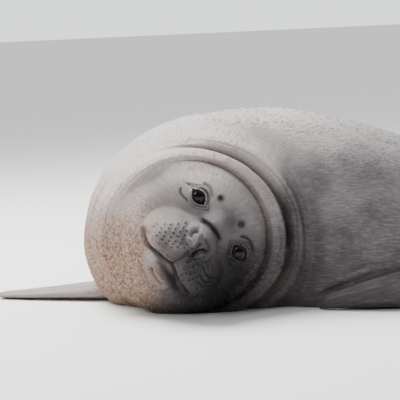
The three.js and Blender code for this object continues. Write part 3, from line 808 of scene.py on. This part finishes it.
whiskers = {
    "right": whisker_set("whiskers_right", RIGHT_FOLLICLES[::2], -1, 26.0),
    "left": whisker_set("whiskers_left", LEFT_FOLLICLES[::2], 1, 26.0),
    "brow": whisker_set("whiskers_brow", BROW_FOLLICLES, 1, 15.0),
}
print("whiskers", len(FOLLICLES[::2]) + len(BROW_FOLLICLES))

# %% [markdown]
# The coat is short and lies flat, so the skin's bump carries most of it. Tufts of mesh stand
# a little clear where the coat breaks the form: along the neck creases, on the throat where
# sand clots it, and thinly over the whole body.

# %% Tufts of the coat
COMB_SPREAD, ROOT_DEPTH, ROOT_HALF, BLADE_RISE, BLADE_RIDGE = 0.16, 0.6, 0.35, 0.4, 0.5


def tuft_field(name, grid, count, seed, length, width, lift, weight, bleached=0.0):
    """Blades at seeded grid places: root, two shoulders and a tip, along the tail direction."""
    draw = np.random.default_rng(seed)
    rows, columns = grid.shape[:2]
    n = normals_of(grid)
    down = np.gradient(grid, axis=0)
    area = np.linalg.norm(np.cross(down, np.roll(grid, -1, 1) - grid), axis=-1)
    chance = (area * weight)[2:-2].ravel()
    chance = np.where(grid[2:-2, :, 2].ravel() > 3.0, chance, 0)
    picks = draw.choice(chance.size, count, p=chance / chance.sum())
    i, j = picks // columns + 2, picks % columns
    root = grid[i, j]
    normal = n[i, j]
    way = unit(down[i, j])
    way = way + draw.normal(0, COMB_SPREAD, way.shape)
    way = unit(way - normal * np.sum(way * normal, axis=1, keepdims=True))
    side = np.cross(way, normal)
    long_ = (length * draw.uniform(0.6, 1.3, count))[:, None]
    broad = (width * draw.uniform(0.7, 1.3, count))[:, None]
    rise = (lift * draw.uniform(0.5, 1.4, count))[:, None]
    low, middle, edge = root - normal * ROOT_DEPTH, root + way * long_ * 0.5, side * broad
    points = above(np.stack([
        low - edge * ROOT_HALF, low + edge * ROOT_HALF,
        middle - edge * 0.5 + normal * rise * BLADE_RISE,
        middle + edge * 0.5 + normal * rise * BLADE_RISE,
        middle + normal * (rise * BLADE_RISE + BLADE_RIDGE),
        root + way * long_ + normal * rise], axis=1), HAIR_LOWEST)
    shape = np.array([[0, 4, 2], [0, 1, 4], [1, 3, 4], [2, 4, 5],
                      [4, 3, 5], [0, 2, 5], [0, 5, 1], [1, 5, 3]])
    faces = (np.arange(count)[:, None, None] * 6 + shape[None]).reshape(-1, 3)
    marks = marks_of(points, np.zeros(points.shape[:2]))
    marks["pale"] = np.maximum(marks["pale"], bleached)
    # bleached tufts carry less painted shade
    marks["painted_shade"] = marks["painted_shade"] * (1 - 0.6 * bleached)
    thing = add_mesh(name, points.reshape(-1, 3), faces, marks, smooth=False)
    patch = np.array([[0, 0], [1, 0], [0, .5], [1, .5], [.5, .5], [.5, 1]]) * 0.003
    place = np.stack([j / columns, i / rows], -1)
    corner = place[:, None] * 0.99 + patch[None]
    give_uv(thing, "OFBake", corner[:, shape.ravel()].reshape(-1, 2))
    return thing


columns = np.broadcast_to(np.arange(BODY_COLUMNS)[None], body_grid.shape[:2])
throat = bell(columns / BODY_COLUMNS * 360 - 190, 60)
body_weight = 0.5 + 2.0 * throat
roll_grid = head_grid[FACE_ROWS - 24:-2]
collar_grid = body_grid[2:90]


def lower_near_side(grid):
    """1 low on the inside of the bend, where the clumped hair catches the light; 0 elsewhere."""
    x, y, z = grid[..., 0], grid[..., 1], grid[..., 2]
    return soft_step(x, 30, 80) * soft_step(125 - z, 0, 90) * soft_step(60 - y, 0, 40) + 1e-6


tufts = [
    tuft_field("coat_body_a", body_grid, 14000, 51, 10.0, 1.1, 0.3, body_weight),
    tuft_field("coat_body_b", body_grid, 14000, 52, 8.0, 1.0, 0.25, body_weight),
    tuft_field("coat_head", roll_grid, 12000, 53, 5.5, 0.8, 0.3, np.ones(roll_grid.shape[:2])),
    tuft_field("coat_roll", roll_grid, 3200, 54, 10.0, 0.9, 1.1, lower_near_side(roll_grid), 0.45),
    tuft_field("coat_collar", collar_grid, 4200, 55, 12.0, 0.9, 1.1, lower_near_side(collar_grid), 0.4),
]
print("tufts", sum(len(t.data.polygons) for t in tufts), "faces")

# %% [markdown]
# The skin needs two unwraps: one in real metres along the lie of the coat, for the streaks
# of the fur, and a plain one of angle against rows for baking.

# %% Unwraps of the skin
def unwrap(grid):
    """Metres around and along a mean column for the lie, and shares of both for the baking."""
    rows, columns = grid.shape[:2]
    step = np.linalg.norm(np.diff(grid, axis=0), axis=-1).mean(axis=1)
    v_mm = np.concatenate([[0], np.cumsum(step)])
    around = np.linalg.norm(np.roll(grid, -1, 1) - grid, axis=-1).sum(axis=1).max()
    i, j = np.meshgrid(np.arange(rows - 1), np.arange(columns), indexing="ij")
    iu = np.stack([j, j + 1, j + 1, j], -1)
    iv = np.stack([i, i, i + 1, i + 1], -1)
    return (np.stack([iu / columns * around, v_mm[iv]], -1).reshape(-1, 4, 2) / 1000,
            np.stack([iu / columns, iv / (rows - 1)], -1).reshape(-1, 4, 2))


for thing, grid, flipped in [(skin_head, head_grid, True), (skin_body, body_grid, True),
                             (skin_tail, tail_grid, True)] + [
        (flippers[name], flipper_grids[name], False) for name in FLIPPERS]:
    lie, bake = unwrap(grid)
    if flipped:
        lie, bake = lie[:, ::-1], bake[:, ::-1]
    give_uv(thing, "OFBake", bake)
    give_uv(thing, "Lie", lie)
print("unwrapped")

# %% [markdown]
# The hide is short, stiff seal fur over blubber: a satin surface, mid-grey on the body, made
# paler with painted light where it faces the sky and darker with painted shade low down, sandy
# on the throat. Colours are hex values as one would read them off a screen, turned to linear
# light by one function.

# %% Materials
def hex_colour(code):
    """sRGB hex to linear RGBA: c / 12.92 or ((c + 0.055) / 1.055) ** 2.4."""
    values = [int(code[i:i + 2], 16) / 255 for i in (1, 3, 5)]
    return tuple(v / 12.92 if v <= 0.04045 else ((v + 0.055) / 1.055) ** 2.4 for v in values) + (1.0,)


def add_node(tree, kind, inputs, output=0, **settings):
    """Adds a node: its properties, its inputs as numbers, hex colours or sockets, one output."""
    node = tree.nodes.new(kind)
    for key, value in settings.items():
        setattr(node, key, value)
    for key, value in inputs.items():
        if isinstance(value, bpy.types.NodeSocket):
            tree.links.new(value, node.inputs[key])
        else:
            node.inputs[key].default_value = hex_colour(value) if isinstance(value, str) else value
    return node.outputs[output]


def new_material(name, **shader_settings):
    """A material with an empty tree, its shader and its output."""
    material = bpy.data.materials.new(name)
    material.use_nodes = True
    tree = material.node_tree
    tree.nodes.clear()
    shader = tree.nodes.new("ShaderNodeBsdfPrincipled")
    for key, value in shader_settings.items():
        shader.inputs[key.replace("_", " ")].default_value = value
    output = tree.nodes.new("ShaderNodeOutputMaterial")
    tree.links.new(shader.outputs["BSDF"], output.inputs["Surface"])
    return material, tree, shader


def set_surface(tree, shader, colour, height, strength, distance):
    """Gives the shader its colour and a bump from the height."""
    bump = add_node(tree, "ShaderNodeBump", {"Height": height, "Strength": strength, "Distance": distance})
    tree.links.new(colour, shader.inputs["Base Color"])
    tree.links.new(bump, shader.inputs["Normal"])


# kinds of node used more than once, and the places of a colour mix's factor, colours and result
NOISE, MIX, RANGE, MATH = "ShaderNodeTexNoise", "ShaderNodeMix", "ShaderNodeMapRange", "ShaderNodeMath"
MARK, PLACE = "ShaderNodeAttribute", "ShaderNodeTexCoord"
FACTOR, UNDER, OVER, BLENDED = 0, 6, 7, 2
# repeats per metre: mottling every 62 mm, hair tips and grains of sand every 5 mm, iris threads
# every 2.4 mm, and streaks 3 mm wide and 36 mm long
MOTTLES, TIPS, GRAINS, THREADS, STREAKS = 16.0, 190.0, 210.0, 420.0, (330.0, 28.0, 1.0)


def layered(tree, base, layers):
    """base (1 - f) + colour f for each layer: a factor with its range, and the colour laid on."""
    for factor, low, high, most, colour in layers:
        share = add_node(tree, RANGE, {"Value": factor, "From Min": low, "From Max": high, "To Max": most})
        base = add_node(tree, MIX, {FACTOR: share, UNDER: base, OVER: colour}, BLENDED, data_type="RGBA")
    return base


def seal_fur(name, streaks=True):
    """Short flat fur: grey base, a pale top of painted light, sand, a dark underside of painted shade,
    grit and combed streaks.
    """
    material, tree, shader = new_material(name, Roughness=0.52, IOR=1.45, Specular_IOR_Level=0.28)
    place = add_node(tree, PLACE, {}, "Object")
    mottle = add_node(tree, NOISE, {"Vector": place, "Scale": MOTTLES, "Detail": 6.0, "Roughness": 0.6})
    fine = add_node(tree, NOISE, {"Vector": place, "Scale": TIPS, "Detail": 3.0, "Roughness": 0.65})
    grit = add_node(tree, "ShaderNodeTexVoronoi", {"Vector": place, "Scale": GRAINS}, "Distance")
    sand, pale, painted_shade, dark = [add_node(tree, MARK, {}, "Fac", attribute_name=mark)
                              for mark in ("sand", "pale", "painted_shade", "dark")]
    sandy = layered(tree, "#553d31", [(fine, 0.35, 0.65, 1.0, "#b8957c")])
    base = layered(tree, "#545053", [
        (mottle, 0.35, 0.65, 1.0, "#706a6c"),
        # painted light: paler on the upper side that faces the sky
        (pale, 0.0, 1.0, 1.0, "#b8afac"),
        (sand, 0.0, 1.0, 1.0, sandy),
        # painted shade: darker low down, on the near side and next to the floor
        (painted_shade, 0.0, 1.0, 1.0, "#1f1c1d")])
    height = fine
    if streaks:
        lie = add_node(tree, "ShaderNodeUVMap", {}, uv_map="Lie")
        comb = add_node(tree, "ShaderNodeMapping", {"Vector": lie, "Scale": STREAKS})
        streak = add_node(tree, NOISE, {"Vector": comb, "Scale": 1.0, "Detail": 4.0, "Roughness": 0.65})
        base = layered(tree, base, [(streak, 0.42, 0.7, 0.26, "#3a373a"),
                                    (streak, 0.5, 0.25, 0.16, "#d5cecb")])
        half = add_node(tree, MATH, {0: fine, 1: 0.5}, operation="MULTIPLY")
        height = add_node(tree, MATH, {0: streak, 1: half}, operation="ADD")
    strength = add_node(tree, RANGE, {"Value": sand, "To Min": 0.14})
    speck = add_node(tree, RANGE, {"Value": grit, "From Min": 0.12, "From Max": 0.34,
                                   "To Min": 0.85, "To Max": 0.0})
    speck = add_node(tree, MATH, {0: speck, 1: strength}, operation="MULTIPLY")
    base = layered(tree, base, [(speck, 0.0, 1.0, 1.0, "#463a35"),
                                # painted shade in creases and slits, with dark follicles and brow tufts
                                (dark, 0.0, 1.0, 1.0, "#141315")])
    grains = add_node(tree, MATH, {0: grit, 1: sand}, operation="MULTIPLY")
    height = add_node(tree, MATH, {0: height, 1: grains}, operation="ADD")
    set_surface(tree, shader, base, height, 0.7, 0.003)
    return material


def wet_eye():
    """Near-black pupil, a dark grey iris of fine threads, and a dark rim, under a wet cornea."""
    material, tree, shader = new_material("wet_dark_eye", Roughness=0.09, IOR=1.34,
                                          Specular_IOR_Level=0.4)
    place = add_node(tree, PLACE, {}, "Object")
    thread = add_node(tree, NOISE, {"Vector": place, "Scale": THREADS, "Detail": 3.0, "Roughness": 0.6})
    polar = add_node(tree, MARK, {}, "Fac", attribute_name="polar")
    iris = layered(tree, "#151314", [(thread, 0.35, 0.65, 1.0, "#353031")])
    base = layered(tree, "#050506", [(polar, 0.13, 0.16, 1.0, iris),
                                                 (polar, 0.27, 0.31, 1.0, "#221c1b")])
    set_surface(tree, shader, base, thread, 0.05, 0.0005)
    return material


def horn_or_hair(name, root, tip, grain, rough):
    """Keratin: one colour at the root, a paler worn tip, and fine grain across it."""
    material, tree, shader = new_material(name, Roughness=rough, IOR=1.54)
    place = add_node(tree, PLACE, {}, "Object")
    noise = add_node(tree, NOISE, {"Vector": place, "Scale": grain, "Detail": 3.0, "Roughness": 0.6})
    along = add_node(tree, MARK, {}, "Fac", attribute_name="along")
    uneven = add_node(tree, RANGE, {"Value": noise, "From Min": 0.3, "From Max": 0.7,
                                    "To Min": -0.25, "To Max": 0.25})
    worn = add_node(tree, MATH, {0: along, 1: uneven}, operation="ADD")
    base = layered(tree, root, [(worn, 0.2, 1.0, 1.0, tip)])
    set_surface(tree, shader, base, noise, 0.3, 0.0005)
    return material


fur = seal_fur("short_seal_fur")
tuft_fur = seal_fur("seal_fur_tufts", streaks=False)
cornea = wet_eye()
horn = horn_or_hair("dark_horn_claw", "#1d1a19", "#5c514a", 600.0, 0.4)
hair = horn_or_hair("whisker_hair", "#1e1b1a", "#a09080", 900.0, 0.45)

skins = [skin_head, skin_body, skin_tail, *flippers.values()]
for material, things in ((fur, skins), (tuft_fur, tufts), (cornea, eyes.values()),
                         (horn, claws.values()), (hair, whiskers.values())):
    for thing in things:
        thing.data.materials.append(material)

# %% [markdown]
# Every piece rides on the one body of the model and stands for its solid.

# %% Ride on the frame
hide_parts("head")
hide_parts("neck", "chest", "belly", "hips")
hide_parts("tail")
for name, thing in flippers.items():
    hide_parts(name)
for side, thing in eyes.items():
    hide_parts("eye_" + side)
for thing in [*skins, *tufts, *claws.values(), *whiskers.values()]:
    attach(thing, "root")
for thing in eyes.values():
    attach(thing, "root")

# %% [markdown]
# A plain pale floor and soft studio light: one wide lamp above and to the left stands for the
# bright sky, and a small lamp in front and the pale room fill the shadows.

# %% Floor and light
def make_floor():
    """A plain square in the plane z = 0."""
    half = 400000.0     # millimetres
    corners = np.array([[-half, -half, 0], [half, -half, 0], [half, half, 0], [-half, half, 0]])
    floor = add_mesh("floor", corners, [[0, 1, 2, 3]], smooth=False)
    paint, _, _ = new_material("pale_matt_floor", Base_Color=hex_colour("#efedea"), Roughness=0.9)
    floor.data.materials.append(paint)


def make_lamp(name, at, aim, power, size):
    """A square area lamp at one place that faces another."""
    data = bpy.data.lights.new(name, "AREA")
    data.energy, data.size = power, size
    lamp = bpy.data.objects.new(name, data)
    bpy.context.collection.objects.link(lamp)
    lamp.location = at
    lamp.rotation_mode = "QUATERNION"
    lamp.rotation_quaternion = (Vector(aim) - Vector(at)).to_track_quat("-Z", "Y")


make_floor()
make_lamp("sky_lamp", (-1.3, 0.9, 2.9), (0, 0, 0.2), 320, 2.2)
make_lamp("front_fill", (-2.2, -2.6, 2.2), (0, 0, 0.15), 26, 0.8)
world = bpy.data.worlds.new("studio")
world.use_nodes = True
tree = world.node_tree
backdrop = tree.nodes["Background"].inputs
backdrop["Color"].default_value = hex_colour("#eef1f4")
seen = add_node(tree, PLACE, {}, "Generated")
depth = add_node(tree, "ShaderNodeSeparateXYZ", {"Vector": seen}, "Y")
glow = add_node(tree, RANGE, {"Value": depth, "From Min": -0.9, "From Max": 0.9,
                              "To Min": 0.3, "To Max": 1.9})
tree.links.new(glow, backdrop["Strength"])
bpy.context.scene.world = world
